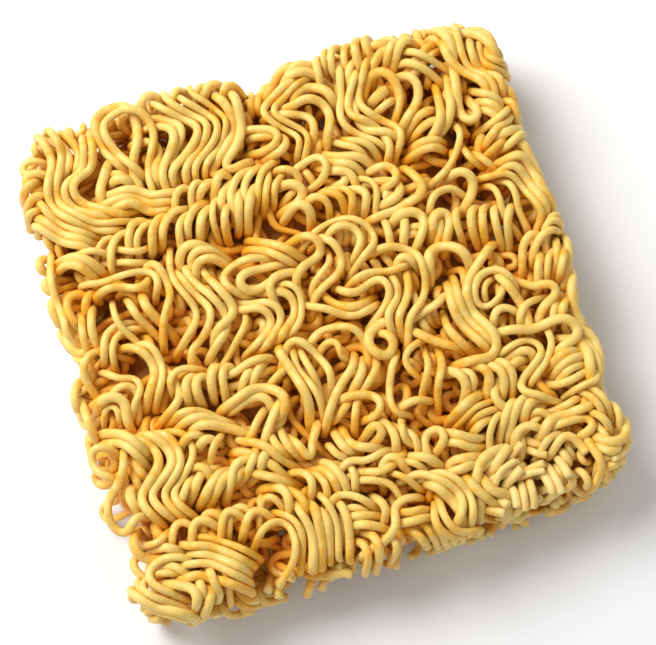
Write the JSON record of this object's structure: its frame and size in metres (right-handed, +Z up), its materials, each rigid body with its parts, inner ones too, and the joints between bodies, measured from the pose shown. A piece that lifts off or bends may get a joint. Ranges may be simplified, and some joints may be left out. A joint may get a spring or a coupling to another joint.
{
  "type": "dried instant noodle block",
  "caption": "Flat square block of dried wavy noodles, pressed in a tray: rows of crests on top, loose loops round its uneven sides, and a flat underside.",
  "frame": {"origin": "centre of the block's box, on the surface it rests on", "axes": "+Z up, through the block's thickness; +X along the rows of crests; +Y towards the back, along the strands' run"},
  "size_m": [0.1026, 0.1012, 0.0219],
  "materials": {
    "dried_noodle": "satin, fried dry dough"
  },
  "bodies": {
    "root": {"noodle_block": "dried_noodle"}
  },
  "joints": []
}
